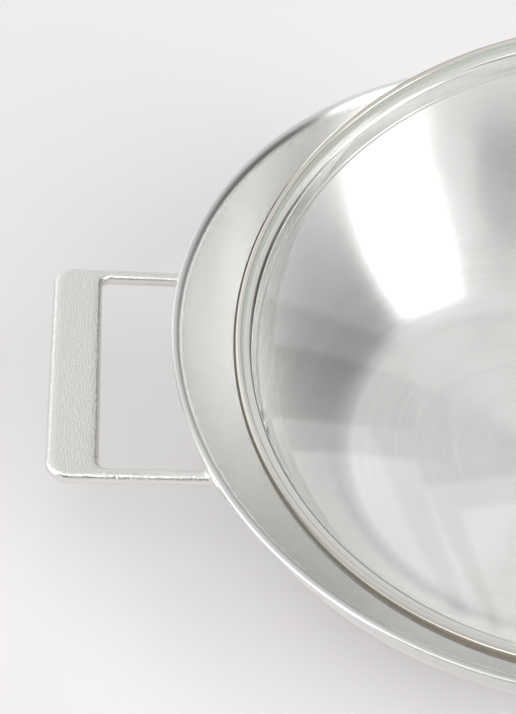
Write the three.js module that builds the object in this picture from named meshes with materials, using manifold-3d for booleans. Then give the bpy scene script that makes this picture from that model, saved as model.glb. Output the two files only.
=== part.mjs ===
// A flat-based stainless steel wok with two cast loop handles and a domed glass lid that lies ajar on it.
// Millimetres, +Z up. The origin is on the wok's axis, on the surface that the base stands on.
// The left handle points along -X. The lid is built in its own frame and then settled into the bowl.
import * as THREE from "three";
import { mergeVertices } from "three/addons/utils/BufferGeometryUtils.js";
import Module from "manifold-3d";

const wasm = await Module();
wasm.setup();

const DEG = Math.PI / 180;

// Bowl
const RIM_RADIUS = 180; // to the outside edge of the lip
const DEPTH = 100; // from the top of the lip down to the inside of the base
const SHEET = 2; // wall of the bowl
const BASE_FLAT_RADIUS = 92; // flat inside, where the fillet starts
const BASE_FILLET = 28; // inside, from the base into the wall
const WALL_TOP_ANGLE = 77 * DEG; // slope of the wall where the lip starts
const LIP_BEND = 3.4; // top surface of the flared lip
const LIP_END_ANGLE = 8 * DEG; // slope left at the lip's edge
const LIP_LAND = 0.8; // straight run out to the lip's edge

// Base
const CORE_RADIUS = 86;
const CORE_THICKNESS = 5;
const CAP_SHEET = 0.8;
const CAP_CORNER = 2.5; // outside bend of the cap
const BRAZE_GAP = 0.3; // round the core, inside the cap

// Side handles
const HANDLE_REACH = 234.8; // from the wok's axis to the outside of the grip
const HANDLE_HALF_WIDTH = 60.1;
const GRIP_WIDTH = 22.7;
const ARM_WIDTH = 5.8;
const HANDLE_THICKNESS = 6;
const HANDLE_CORNER = 10; // outside corners of the loop
const WINDOW_CORNER = 3.5; // inside corners of the loop
const HANDLE_EDGE = 1.6; // rounding along all edges
const HANDLE_RISE = 6.3 * DEG; // the grip rises outwards
const HANDLE_DROP = 21.7; // top face below the lip, at the lip's radius
const FOOT_WIDTH = 24; // weld foot, along the wall
const FOOT_HEIGHT = 17;
const FOOT_THICKNESS = 3.5;
const FOOT_CORNER = 5;
const WELD_GAP = 0.3; // foot to wall

// Lid
const LID_RADIUS = 177; // outside of the steel rim
const RIM_SHEET = 0.7;
const RIM_LAP = 4; // top leg of the rim over the glass
const RIM_CORNER = 1.9; // outside corners of the rim's band
const SEAT_WIDTH = 8.5; // flat under the rim that covers the lip of the wok
const FLANGE_HEIGHT = 11.5; // locating flange below the seat
const FLANGE_BEND = 1.4;
const HEM_HEIGHT = 2.6; // folded lower edge of the flange
const SEAL = 0.7; // silicone between rim and glass
const GLASS = 4;
const GLASS_LAND = 3.2; // flat edge of the glass
const GLASS_FILLET = 6; // top surface, from the flat edge into the dome
const DOME_RISE = 42;
const GLASS_HOLE = 4.6; // radius
const FIT = 0.3; // between pieces of the lid

// Lid handle and its screw
const LOOP_LENGTH = 86;
const LOOP_HEIGHT = 39;
const LOOP_WIDTH = 22;
const LOOP_CORNER = 11;
const LOOP_ARM = 6;
const LOOP_GRIP = 6.5;
const LOOP_FOOT = 8; // bar that stands on the glass
const LOOP_WINDOW_CORNER = 4;
const LOOP_EDGE = 1.6;
const WASHER_RADIUS = 14;
const UPPER_WASHER = 1.6;
const LOWER_WASHER = 1.6;
const STEEL_WASHER_RADIUS = 11;
const STEEL_WASHER = 1.2;
const SCREW_RADIUS = 2.8;
const SCREW_HEAD_RADIUS = 6;
const SCREW_HEAD = 3.2;
const SCREW_BITE = 5.5; // length of the screw inside the handle
const SCREW_TIP_ROOM = 0.6; // left free above the screw's end

// How the lid lies in the photograph
const LID_SHIFT = 23.3; // sideways from the wok's axis
const LID_TURN = 17.5 * DEG; // direction of that shift, from +X towards +Y
const REST_GAP = 0.35; // where the lid touches the bowl

// Facets
const ROUND = 56; // segments of a full turn
const SMALL_ROUND = 20;

const capTop = CAP_SHEET + CORE_THICKNESS;
const baseInside = capTop + SHEET;
const lipTop = baseInside + DEPTH;

// Points along an arc, both ends included.
function arc(x, y, radius, from, to, steps) {
  const points = [];
  for (let i = 0; i <= steps; i++) {
    const a = from + ((to - from) * i) / steps;
    points.push(new THREE.Vector2(x + radius * Math.cos(a), y + radius * Math.sin(a)));
  }
  return points;
}

function at(x, y) {
  return new THREE.Vector2(x, y);
}

// A profile (radius, height), counter-clockwise, turned about Z. It closes on itself or ends on the axis.
function revolve(points, segments = ROUND) {
  const onAxis = points[0].x === 0 && points[points.length - 1].x === 0;
  const profile = onAxis ? points : [...points, points[0].clone()];
  return new THREE.LatheGeometry(profile, segments).rotateX(Math.PI / 2);
}

function solid(geometry) {
  const bare = geometry.clone();
  bare.deleteAttribute("normal");
  bare.deleteAttribute("uv");
  const merged = mergeVertices(bare, 1e-4);
  return new wasm.Manifold(
    new wasm.Mesh({
      numProp: 3,
      vertProperties: merged.attributes.position.array,
      triVerts: new Uint32Array(merged.index.array),
    }),
  );
}

function geometryOf(manifold) {
  const { vertProperties, triVerts } = manifold.getMesh();
  const geometry = new THREE.BufferGeometry();
  geometry.setAttribute("position", new THREE.BufferAttribute(vertProperties, 3));
  geometry.setIndex(new THREE.BufferAttribute(triVerts, 1));
  geometry.computeVertexNormals();
  return geometry;
}

function roundedRectangle(x0, y0, x1, y1, radius, shape = new THREE.Shape()) {
  shape.moveTo(x0 + radius, y0);
  shape.lineTo(x1 - radius, y0);
  shape.absarc(x1 - radius, y0 + radius, radius, -Math.PI / 2, 0);
  shape.lineTo(x1, y1 - radius);
  shape.absarc(x1 - radius, y1 - radius, radius, 0, Math.PI / 2);
  shape.lineTo(x0 + radius, y1);
  shape.absarc(x0 + radius, y1 - radius, radius, Math.PI / 2, Math.PI);
  shape.lineTo(x0, y0 + radius);
  shape.absarc(x0 + radius, y0 + radius, radius, Math.PI, 1.5 * Math.PI);
  return shape;
}

// A plate of the shape's full outline, its edges rounded, from z = 0 up to its thickness.
function roundedPlate(shape, thickness, edge, bevelSegments = 2) {
  const geometry = new THREE.ExtrudeGeometry(shape, {
    depth: thickness - 2 * edge,
    bevelThickness: edge,
    bevelSize: edge,
    bevelOffset: -edge,
    bevelSegments,
    curveSegments: 4,
  });
  return geometry.translate(0, 0, edge);
}

const satinSteel = { color: 0xd9d8d4, roughness: 0.32, metalness: 1 };
const castSteel = { color: 0xcfcecb, roughness: 0.5, metalness: 1 };
const polishedSteel = { color: 0xd6d2cb, roughness: 0.15, metalness: 1 };
const aluminium = { color: 0xb9bcc0, roughness: 0.55, metalness: 1 };
const silicone = { color: 0xd8dad6, roughness: 0.6, metalness: 0 };
const glass = { color: 0xdfe8e2, roughness: 0.05, metalness: 0, transparent: true, opacity: 0.3 };

function piece(name, geometry, look) {
  const mesh = new THREE.Mesh(geometry, new THREE.MeshStandardMaterial(look));
  mesh.name = name;
  return mesh;
}

// Bowl
// The inside is a flat, a fillet, one long arc and a lip that bends outwards, each tangent to the next.
// The same line moved out by the sheet's thickness is the outside.
const lipBendOut = LIP_BEND * (Math.sin(WALL_TOP_ANGLE) - Math.sin(LIP_END_ANGLE));
const lipBendUp = LIP_BEND * (Math.cos(LIP_END_ANGLE) - Math.cos(WALL_TOP_ANGLE));
const edgeRound = SHEET / 2;
const lipRun = LIP_LAND * Math.cos(LIP_END_ANGLE);
const lipRise = LIP_LAND * Math.sin(LIP_END_ANGLE);
const wallTopRadius = RIM_RADIUS - edgeRound - lipRun - lipBendOut;
const wallTopHeight = lipTop - lipRise - lipBendUp;

// The slope at the foot of the wall, for which one arc joins the fillet to the lip.
function wallFootAngle() {
  let low = 5 * DEG;
  let high = 89 * DEG;
  for (let i = 0; i < 60; i++) {
    const angle = (low + high) / 2;
    const run = wallTopRadius - BASE_FLAT_RADIUS - BASE_FILLET * Math.sin(angle);
    const climb = wallTopHeight - baseInside - BASE_FILLET * (1 - Math.cos(angle));
    if (2 * Math.atan2(climb, run) - WALL_TOP_ANGLE > angle) low = angle;
    else high = angle;
  }
  return (low + high) / 2;
}

// The bowl's line at a distance outside its inner surface, from the base's edge to the lip's land.
function bowlLine(outwards) {
  const foot = wallFootAngle();
  const fillet = BASE_FILLET + outwards;
  const footRadius = BASE_FLAT_RADIUS + BASE_FILLET * Math.sin(foot);
  const bend = (wallTopRadius - footRadius) / (Math.sin(WALL_TOP_ANGLE) - Math.sin(foot));
  const wallX = wallTopRadius - bend * Math.sin(WALL_TOP_ANGLE);
  const wallZ = wallTopHeight + bend * Math.cos(WALL_TOP_ANGLE);
  const quarter = Math.PI / 2;
  const base = arc(BASE_FLAT_RADIUS, baseInside + BASE_FILLET, fillet, -quarter, foot - quarter, 4);
  const wall = arc(wallX, wallZ, bend + outwards, foot - quarter, WALL_TOP_ANGLE - quarter, 5);
  const lipX = wallTopRadius + LIP_BEND * Math.sin(WALL_TOP_ANGLE);
  const lipZ = wallTopHeight - LIP_BEND * Math.cos(WALL_TOP_ANGLE);
  const lip = arc(lipX, lipZ, LIP_BEND - outwards, WALL_TOP_ANGLE + quarter, LIP_END_ANGLE + quarter, 4);
  const land = lip[lip.length - 1].clone().add(at(lipRun, lipRise));
  return [...base, ...wall.slice(1), ...lip.slice(1), land];
}

const bowlInside = bowlLine(0);
const bowlOutside = bowlLine(SHEET);
const landTop = bowlInside[bowlInside.length - 1];
const edgeX = landTop.x + edgeRound * Math.sin(LIP_END_ANGLE);
const edgeZ = landTop.y - edgeRound * Math.cos(LIP_END_ANGLE);
const lipEdge = arc(edgeX, edgeZ, edgeRound, LIP_END_ANGLE - Math.PI / 2, LIP_END_ANGLE + Math.PI / 2, 3);
const bowlProfile = [
  at(0, capTop),
  ...bowlOutside,
  ...lipEdge.slice(1, -1),
  ...[...bowlInside].reverse(),
  at(0, baseInside),
];
const bowl = piece("wok_bowl", revolve(bowlProfile), satinSteel);

// Base
// A heat-spreading disc under the bowl, closed in by a thin steel cap with an upturned edge.
const core = piece(
  "base_core",
  revolve([at(0, CAP_SHEET), at(CORE_RADIUS, CAP_SHEET), at(CORE_RADIUS, capTop), at(0, capTop)]),
  aluminium,
);
const capInside = CORE_RADIUS + BRAZE_GAP;
const capOutside = capInside + CAP_SHEET;
const capProfile = [
  at(0, 0),
  ...arc(capOutside - CAP_CORNER, CAP_CORNER, CAP_CORNER, -Math.PI / 2, 0, 3),
  at(capOutside, capTop),
  at(capInside, capTop),
  at(capInside, CAP_SHEET),
  at(0, CAP_SHEET),
];
const cap = piece("base_cap", revolve(capProfile), polishedSteel);

// Side handles
// Each is a flat loop, open towards the bowl, with a wide grip, slim arms and two feet on the wall.
// It is drawn along +X, tilted, joined to its feet and then cut to the wall's curve.
const handleTop = lipTop - HANDLE_DROP;
const armMiddle = HANDLE_HALF_WIDTH - ARM_WIDTH / 2;

// Radius of the bowl's outside at a height.
function outsideRadius(height) {
  const i = bowlOutside.findIndex((p) => p.y >= height);
  const a = bowlOutside[i - 1];
  const b = bowlOutside[i];
  return a.x + ((b.x - a.x) * (height - a.y)) / (b.y - a.y);
}

// Height of the handle's mid-plane at a distance from the axis.
function handleMiddle(x) {
  const slope = Math.tan(HANDLE_RISE);
  return handleTop + slope * (x - RIM_RADIUS) - HANDLE_THICKNESS / 2 / Math.cos(HANDLE_RISE);
}

// Where the middle of an arm meets the wall.
function footPlace() {
  let x = RIM_RADIUS;
  for (let i = 0; i < 40; i++) {
    const r = outsideRadius(handleMiddle(x));
    x = Math.sqrt(r * r - armMiddle * armMiddle);
  }
  return { x, z: handleMiddle(x), turn: Math.atan2(armMiddle, x) };
}

function wallSlope(height) {
  const i = bowlOutside.findIndex((p) => p.y >= height);
  const step = bowlOutside[i].clone().sub(bowlOutside[i - 1]);
  return Math.atan2(step.y, step.x);
}

function handleGeometry() {
  const foot = footPlace();
  const along = (x) => (x - RIM_RADIUS) / Math.cos(HANDLE_RISE);
  const start = along(foot.x - FOOT_THICKNESS);
  const end = along(HANDLE_REACH);
  const inner = end - GRIP_WIDTH;
  const half = HANDLE_HALF_WIDTH;
  const window = half - ARM_WIDTH;
  const quarter = Math.PI / 2;
  const loop = new THREE.Shape();
  loop.moveTo(start, -half);
  loop.lineTo(end - HANDLE_CORNER, -half);
  loop.absarc(end - HANDLE_CORNER, HANDLE_CORNER - half, HANDLE_CORNER, -quarter, 0);
  loop.lineTo(end, half - HANDLE_CORNER);
  loop.absarc(end - HANDLE_CORNER, half - HANDLE_CORNER, HANDLE_CORNER, 0, quarter);
  loop.lineTo(start, half);
  loop.lineTo(start, window);
  loop.lineTo(inner - WINDOW_CORNER, window);
  loop.absarc(inner - WINDOW_CORNER, window - WINDOW_CORNER, WINDOW_CORNER, quarter, 0, true);
  loop.lineTo(inner, WINDOW_CORNER - window);
  loop.absarc(inner - WINDOW_CORNER, WINDOW_CORNER - window, WINDOW_CORNER, 0, -quarter, true);
  loop.lineTo(start, -window);
  const plate = roundedPlate(loop, HANDLE_THICKNESS, HANDLE_EDGE);
  plate.translate(0, 0, -HANDLE_THICKNESS).rotateY(-HANDLE_RISE).translate(RIM_RADIUS, 0, handleTop);
  let made = solid(plate);
  const pad = roundedRectangle(-FOOT_WIDTH / 2, -FOOT_HEIGHT / 2, FOOT_WIDTH / 2, FOOT_HEIGHT / 2, FOOT_CORNER);
  for (const side of [1, -1]) {
    // The pad's own Z is turned to the wall's outward normal at the arm's end.
    const block = roundedPlate(pad, 2 * FOOT_THICKNESS, HANDLE_EDGE, 1).translate(0, 0, -FOOT_THICKNESS);
    block.rotateZ(quarter).rotateY(quarter + quarter - wallSlope(foot.z)).rotateZ(side * foot.turn);
    block.translate(foot.x, side * armMiddle, foot.z);
    made = made.add(solid(block));
  }
  const wallCut = bowlLine(SHEET + WELD_GAP).filter((p) => p.y < wallTopHeight);
  const last = wallCut[wallCut.length - 1];
  const cutter = solid(revolve([at(0, wallCut[0].y), ...wallCut, at(0, last.y)]));
  return geometryOf(made.subtract(cutter));
}

const handleShape = handleGeometry();
const rightHandle = piece("right_handle", handleShape, castSteel);
const leftHandle = piece("left_handle", handleShape, castSteel);
leftHandle.rotation.z = Math.PI;

// Lid rim
// One strip of sheet, rolled to a channel that grips the glass, a flat seat and a flange with a folded edge.
const bandHeight = 2 * RIM_SHEET + 2 * SEAL + GLASS + 4 * FIT;
const flangeRadius = LID_RADIUS - SEAT_WIDTH;

function rimProfile() {
  const s = RIM_SHEET;
  const quarter = Math.PI / 2;
  const corner = LID_RADIUS - RIM_CORNER;
  const bendX = flangeRadius + FLANGE_BEND;
  const topZ = bandHeight - RIM_CORNER;
  const bottom = -FLANGE_HEIGHT;
  const hemTop = bottom + HEM_HEIGHT;
  return [
    ...arc(flangeRadius - s, bottom + s, s, -quarter, 0, 2),
    ...arc(bendX, -FLANGE_BEND, FLANGE_BEND, 2 * quarter, quarter, 2),
    ...arc(corner, RIM_CORNER, RIM_CORNER, -quarter, 0, 2),
    ...arc(corner, topZ, RIM_CORNER, 0, quarter, 3),
    at(LID_RADIUS - RIM_LAP, bandHeight),
    at(LID_RADIUS - RIM_LAP, bandHeight - s),
    ...arc(corner, topZ, RIM_CORNER - s, quarter, 0, 1),
    ...arc(corner, RIM_CORNER, RIM_CORNER - s, 0, -quarter, 1),
    ...arc(bendX, -FLANGE_BEND, FLANGE_BEND + s, quarter, 2 * quarter, 2),
    at(flangeRadius - s, hemTop),
    at(flangeRadius - 2 * s, hemTop),
    at(flangeRadius - 2 * s, bottom + s),
  ];
}

const lidRim = piece("lid_rim", revolve(rimProfile()), polishedSteel);

// Lid seal: a thin channel of silicone between the rim and the edge of the glass.
const sealOutside = LID_RADIUS - RIM_SHEET - FIT;
const sealBottom = RIM_SHEET + FIT;
const sealTop = bandHeight - RIM_SHEET - FIT;
const sealInside = LID_RADIUS - RIM_LAP;
const sealChamfer = RIM_CORNER - RIM_SHEET;
const sealProfile = [
  at(sealInside, sealBottom),
  at(sealOutside - sealChamfer, sealBottom),
  at(sealOutside, sealBottom + sealChamfer),
  at(sealOutside, sealTop - sealChamfer),
  at(sealOutside - sealChamfer, sealTop),
  at(sealInside, sealTop),
  at(sealInside, sealTop - SEAL),
  at(sealOutside - SEAL, sealTop - SEAL),
  at(sealOutside - SEAL, sealBottom + SEAL),
  at(sealInside, sealBottom + SEAL),
];
const lidSeal = piece("lid_seal", revolve(sealProfile), silicone);

// Lid glass: a flat edge, a fillet and a dome of one radius, all of one thickness.
const glassEdge = sealOutside - SEAL - FIT;
const glassBottom = sealBottom + SEAL + FIT;
const glassTop = glassBottom + GLASS;
const domeEdge = glassEdge - GLASS_LAND;
const domeAngle = 2 * Math.atan(DOME_RISE / domeEdge);
const domeRadius = domeEdge / Math.sin(domeAngle) - GLASS_FILLET;
const domeMiddle = glassTop + DOME_RISE - domeRadius;

// Height of the glass at a radius near the middle, on its top or its underside.
function domeHeight(radius, inwards) {
  return domeMiddle + Math.sqrt((domeRadius - inwards) ** 2 - radius ** 2);
}

function glassProfile() {
  const quarter = Math.PI / 2;
  const under = domeRadius - GLASS;
  const filletZ = glassTop + GLASS_FILLET;
  const holeUnder = Math.acos(GLASS_HOLE / under);
  const holeTop = Math.acos(GLASS_HOLE / domeRadius);
  const edge = Math.min(sealChamfer, GLASS / 3);
  return [
    ...arc(0, domeMiddle, under, holeUnder, quarter - domeAngle, 6),
    ...arc(domeEdge, filletZ, GLASS_FILLET + GLASS, -quarter - domeAngle, -quarter, 2).slice(1),
    at(glassEdge - edge, glassBottom),
    at(glassEdge, glassBottom + edge),
    at(glassEdge, glassTop - edge),
    at(glassEdge - edge, glassTop),
    ...arc(domeEdge, filletZ, GLASS_FILLET, -quarter, -quarter - domeAngle, 2),
    ...arc(0, domeMiddle, domeRadius, quarter - domeAngle, holeTop, 6).slice(1),
  ];
}

const lidGlass = piece("lid_glass", revolve(glassProfile()), glass);

// Lid handle and the stack that one screw holds on the glass
const upperWasherBottom = domeHeight(0, 0) + FIT;
const loopBottom = upperWasherBottom + UPPER_WASHER + FIT;
const lowerWasherTop = domeHeight(WASHER_RADIUS, GLASS) - FIT;
const steelWasherTop = lowerWasherTop - LOWER_WASHER - FIT;
const headTop = steelWasherTop - STEEL_WASHER - FIT;
const screwHole = SCREW_RADIUS + FIT;
const screwEnd = loopBottom + SCREW_BITE;

function ring(inside, outside, bottom, top) {
  return revolve([at(inside, bottom), at(outside, bottom), at(outside, top), at(inside, top)], SMALL_ROUND);
}

const upperWasher = piece(
  "upper_washer",
  ring(screwHole, WASHER_RADIUS, upperWasherBottom, upperWasherBottom + UPPER_WASHER),
  silicone,
);
const lowerWasher = piece(
  "lower_washer",
  ring(screwHole, WASHER_RADIUS, lowerWasherTop - LOWER_WASHER, lowerWasherTop),
  silicone,
);
const steelWasher = piece(
  "steel_washer",
  ring(screwHole, STEEL_WASHER_RADIUS, steelWasherTop - STEEL_WASHER, steelWasherTop),
  polishedSteel,
);
const screwProfile = [
  at(0, headTop - SCREW_HEAD),
  ...arc(SCREW_HEAD_RADIUS - SCREW_HEAD / 2, headTop - SCREW_HEAD / 2, SCREW_HEAD / 2, -Math.PI / 2, 0, 4),
  at(SCREW_HEAD_RADIUS, headTop),
  at(SCREW_RADIUS, headTop),
  at(SCREW_RADIUS, screwEnd),
  at(0, screwEnd),
];
const lidScrew = piece("lid_screw", revolve(screwProfile, SMALL_ROUND), polishedSteel);

// The loop is drawn in side view, with its window, and given its width.
function lidHandleGeometry() {
  const half = LOOP_LENGTH / 2;
  const side = roundedRectangle(-half, 0, half, LOOP_HEIGHT, LOOP_CORNER);
  const window = roundedRectangle(
    LOOP_ARM - half,
    LOOP_FOOT,
    half - LOOP_ARM,
    LOOP_HEIGHT - LOOP_GRIP,
    LOOP_WINDOW_CORNER,
    new THREE.Path(),
  );
  side.holes.push(window);
  const loop = roundedPlate(side, LOOP_WIDTH, LOOP_EDGE).translate(0, 0, -LOOP_WIDTH / 2);
  loop.rotateX(Math.PI / 2).translate(0, 0, loopBottom);
  const holeTop = screwEnd + SCREW_TIP_ROOM;
  const holeBottom = loopBottom - UPPER_WASHER;
  const hole = [at(0, holeBottom), at(screwHole, holeBottom), at(screwHole, holeTop), at(0, holeTop)];
  return geometryOf(solid(loop).subtract(solid(revolve(hole, SMALL_ROUND))));
}

const lidHandle = piece("lid_handle", lidHandleGeometry(), castSteel);

// How the lid settles
// It is shifted, so its flange stands on the lip on one side of its middle and its seat on the other.
// For a tilt, each point of the rim's section asks for a height of the lid that keeps it clear of the bowl.
// Both sides of the lid's middle ask for the same height at the tilt where the lid rests.
function settle() {
  const section = rimProfile();
  const top = bowlProfile.slice(1 + bowlOutside.length);
  const bowlHeight = (radius) => {
    const i = top.findIndex((p) => p.x <= radius);
    if (i <= 0) return null;
    const run = top[i - 1].clone().sub(top[i]);
    const slope = run.y / run.x;
    return top[i].y + slope * (radius - top[i].x) + REST_GAP * Math.sqrt(1 + slope * slope);
  };
  const asked = (tilt) => {
    let raised = -Infinity;
    let lowered = -Infinity;
    for (let k = 0; k < 4 * ROUND; k++) {
      const a = (k / (4 * ROUND)) * 2 * Math.PI;
      for (const p of section) {
        const along = p.x * Math.cos(a) * Math.cos(tilt) - p.y * Math.sin(tilt);
        const z = p.x * Math.cos(a) * Math.sin(tilt) + p.y * Math.cos(tilt);
        const floor = bowlHeight(Math.hypot(LID_SHIFT + along, p.x * Math.sin(a)));
        if (floor === null) continue;
        if (along > 0) raised = Math.max(raised, floor - z);
        else lowered = Math.max(lowered, floor - z);
      }
    }
    return { raised, lowered };
  };
  let low = 0;
  let high = 40 * DEG;
  for (let i = 0; i < 40; i++) {
    const tilt = (low + high) / 2;
    const { raised, lowered } = asked(tilt);
    if (raised > lowered) low = tilt;
    else high = tilt;
  }
  const { raised, lowered } = asked(low);
  return { tilt: low, height: Math.max(raised, lowered) };
}

const rest = settle();
const lid = new THREE.Group();
lid.add(lidRim, lidSeal, lidGlass, lidHandle, upperWasher, lowerWasher, steelWasher, lidScrew);
lid.position.set(LID_SHIFT, 0, rest.height);
lid.rotation.y = -rest.tilt;
const lidTurn = new THREE.Group();
lidTurn.rotation.z = LID_TURN;
lidTurn.add(lid);
console.log(`lid tilt ${(rest.tilt / DEG).toFixed(2)} deg, seat centre ${(rest.height - lipTop).toFixed(2)} mm`);

const wok = new THREE.Group();
wok.add(bowl, core, cap, leftHandle, rightHandle, lidTurn);

export default wok;
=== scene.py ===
# %% [markdown]
# # A wok with a glass lid that lies ajar
# The wok is pressed from stainless sheet, its loop handles are cast, and the lid is glass in a rolled steel rim.
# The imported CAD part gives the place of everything. Each piece that shows is drawn again here with finer curves.
# Lengths are written in millimetres, as on a drawing, and become metres when a mesh is made.

import bpy
import numpy as np
from mathutils import Matrix


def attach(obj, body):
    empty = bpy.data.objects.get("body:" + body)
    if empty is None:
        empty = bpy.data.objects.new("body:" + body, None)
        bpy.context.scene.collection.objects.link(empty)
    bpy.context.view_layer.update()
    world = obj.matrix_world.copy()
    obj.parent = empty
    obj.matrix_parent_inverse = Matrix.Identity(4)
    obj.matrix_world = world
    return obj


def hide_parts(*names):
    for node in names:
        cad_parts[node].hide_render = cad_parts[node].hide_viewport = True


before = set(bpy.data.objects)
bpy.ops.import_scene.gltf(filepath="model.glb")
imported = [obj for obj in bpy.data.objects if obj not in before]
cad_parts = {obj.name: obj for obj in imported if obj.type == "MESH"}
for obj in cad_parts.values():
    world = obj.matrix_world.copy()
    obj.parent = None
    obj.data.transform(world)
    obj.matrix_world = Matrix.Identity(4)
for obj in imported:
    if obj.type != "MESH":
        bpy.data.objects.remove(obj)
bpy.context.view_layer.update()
print("solids:", ", ".join(sorted(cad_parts)))

# %% [markdown]
# ## Rings of points and the skin over them
# Nearly every piece here is a stack of closed rings: a bowl is circles, a handle is small rounded sections.
# Quads join each ring to the next. A side is closed by a fan to one point, or the last ring joins the first.
# The sign of the enclosed volume tells whether the faces point outwards, so no piece can come out inside out.

# %% A skin over rings
MM = 0.001
CREASE = np.radians(32)


def skin(name, rings, first=None, last=None, marks=None):
    """Rings (rows, points, 3) in mm, joined by quads. first and last are end points for fans, or else it loops.

    Volume = sum of a . (b x c) / 6 over the triangles; where it is negative the faces are turned round.
    """
    rows, count = rings.shape[:2]
    index = np.arange(rows * count).reshape(rows, count)
    lower, upper = (index, np.roll(index, -1, 0)) if first is None else (index[:-1], index[1:])
    quads = np.stack([lower, np.roll(lower, -1, 1), np.roll(upper, -1, 1), upper], -1).reshape(-1, 4)
    points = rings.reshape(-1, 3)
    fans = np.zeros((0, 3), int)
    if first is not None:
        points = np.vstack([points, first, last])
        ends = np.full(count, rows * count)
        start = np.stack([np.roll(index[0], -1), index[0], ends], -1)
        finish = np.stack([index[-1], np.roll(index[-1], -1), ends + 1], -1)
        fans = np.vstack([start, finish])
    corners = points[np.vstack([quads[:, :3], quads[:, [0, 2, 3]], fans])]
    volume = np.einsum("ij,ij->", corners[:, 0], np.cross(corners[:, 1], corners[:, 2])) / 6
    turn = -1 if volume < 0 else 1
    mesh = bpy.data.meshes.new(name)
    mesh.from_pydata((points * MM).tolist(), [], quads[:, ::turn].tolist() + fans[:, ::turn].tolist())
    mesh.shade_smooth()
    mesh.set_sharp_from_angle(angle=CREASE)
    for mark, values in (marks or {}).items():
        flat = values.reshape(-1, 3)
        padded = np.vstack([flat, np.zeros((len(points) - len(flat), 3))]).astype(np.float32)
        mesh.attributes.new(mark, "FLOAT_VECTOR", "POINT").data.foreach_set("vector", padded.ravel())
    made = bpy.data.objects.new(name, mesh)
    bpy.context.scene.collection.objects.link(made)
    print(f"{name}: {len(quads) * 2 + len(fans)} triangles, {abs(volume) / 1000:.1f} cm3")
    return made


# %% What a piece belongs to
def finish_piece(made, body, node):
    """The piece moves with its body and stands for its CAD node, which is hidden."""
    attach(made, body)
    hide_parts(node)


# %% [markdown]
# ## Turned pieces
# A pressed bowl, a rolled rim and a washer are all profiles carried round an axis.
# The brushing of such pieces also runs round the axis, so two marks are kept on the points for the materials:
# "strip" holds the direction from the axis and the length along the profile, and "pull" the way across the brushing.
# A pattern on "strip" meets itself after a full turn, which a plain angle would not.

# %% A profile carried round an axis
TURN = 288
UPRIGHT = (np.eye(3), np.zeros(3))


def arc(x, y, radius, start, end, steps):
    """Points (x + radius cos a, y + radius sin a) for angles a from start to end, both included, in degrees."""
    a = np.radians(np.linspace(start, end, steps + 1))
    return np.stack([x + radius * np.cos(a), y + radius * np.sin(a)], -1)


def turned(name, profile, stand=UPRIGHT, segments=TURN):
    """A profile (radius, height) in mm turned about the stand's third axis: (r cos a, r sin a, h)."""
    axes, place = stand
    on_axis = profile[0, 0] == 0
    line = profile[1:-1] if on_axis else profile
    step = np.gradient(line, axis=0) if on_axis else np.roll(line, -1, 0) - np.roll(line, 1, 0)
    step = step / np.linalg.norm(step, axis=1, keepdims=True)
    length = np.concatenate([[0], np.cumsum(np.linalg.norm(np.diff(line, axis=0), axis=1))])
    a = np.linspace(0, 2 * np.pi, segments, endpoint=False)
    cos, sin = np.cos(a), np.sin(a)
    even = np.ones_like(a)
    rings = np.stack([np.outer(line[:, 0], cos), np.outer(line[:, 0], sin), np.outer(line[:, 1], even)], -1)
    pull = np.stack([np.outer(step[:, 0], cos), np.outer(step[:, 0], sin), np.outer(step[:, 1], even)], -1)
    strip = np.stack([np.outer(np.ones(len(line)), cos), np.outer(np.ones(len(line)), sin),
                      np.outer(length, even)], -1)
    ends = [place + h * axes[2] for h in (profile[0, 1], profile[-1, 1])] if on_axis else [None, None]
    return skin(name, rings @ axes + place, *ends, marks={"strip": strip, "pull": pull @ axes})


# %% [markdown]
# ## The bowl
# One sheet of steel is pressed into a flat base, a fillet, a long curved wall and a lip that flares outwards.
# The four curves are tangent to each other. The outside is the same line moved out by the sheet's thickness.
# The wall's arc has to meet the fillet and the lip at once: a chord from foot to top rises at the mean of the two
# end slopes, so the foot's slope is found by trying slopes on a fine scale and taking the one that fits.

# %% The bowl's sizes
RIM, DEPTH, SHEET = 179.9, 100.0, 2.0
FLAT, FILLET = 92.0, 28.0
WALL_TOP, LIP_BEND, LIP_END, LIP_LAND = 77.0, 3.4, 8.0, 0.8
LIP_STEPS = 14
CAP_TOP = 5.8
BASE_INSIDE = CAP_TOP + SHEET
LIP_TOP = BASE_INSIDE + DEPTH


def sind(angle):
    """Sine of an angle in degrees."""
    return np.sin(np.radians(angle))


def cosd(angle):
    """Cosine of an angle in degrees."""
    return np.cos(np.radians(angle))


# %% The arc of the wall
lip_land = LIP_LAND * np.array([cosd(LIP_END), sind(LIP_END)])
wall_top = np.array([RIM - SHEET / 2, LIP_TOP]) - lip_land
wall_top -= LIP_BEND * np.array([sind(WALL_TOP) - sind(LIP_END), cosd(LIP_END) - cosd(WALL_TOP)])
tried = np.linspace(5, 70, 65001)
run = wall_top[0] - FLAT - FILLET * sind(tried)
climb = wall_top[1] - BASE_INSIDE - FILLET * (1 - cosd(tried))
WALL_FOOT = tried[np.argmin(np.abs(2 * np.degrees(np.arctan2(climb, run)) - WALL_TOP - tried))]
WALL_BEND = (wall_top[0] - FLAT - FILLET * sind(WALL_FOOT)) / (sind(WALL_TOP) - sind(WALL_FOOT))
wall_x, wall_z = wall_top + WALL_BEND * np.array([-sind(WALL_TOP), cosd(WALL_TOP)])
print(f"wall from {WALL_FOOT:.1f} to {WALL_TOP:.0f} degrees on a radius of {WALL_BEND:.1f} mm")


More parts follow.
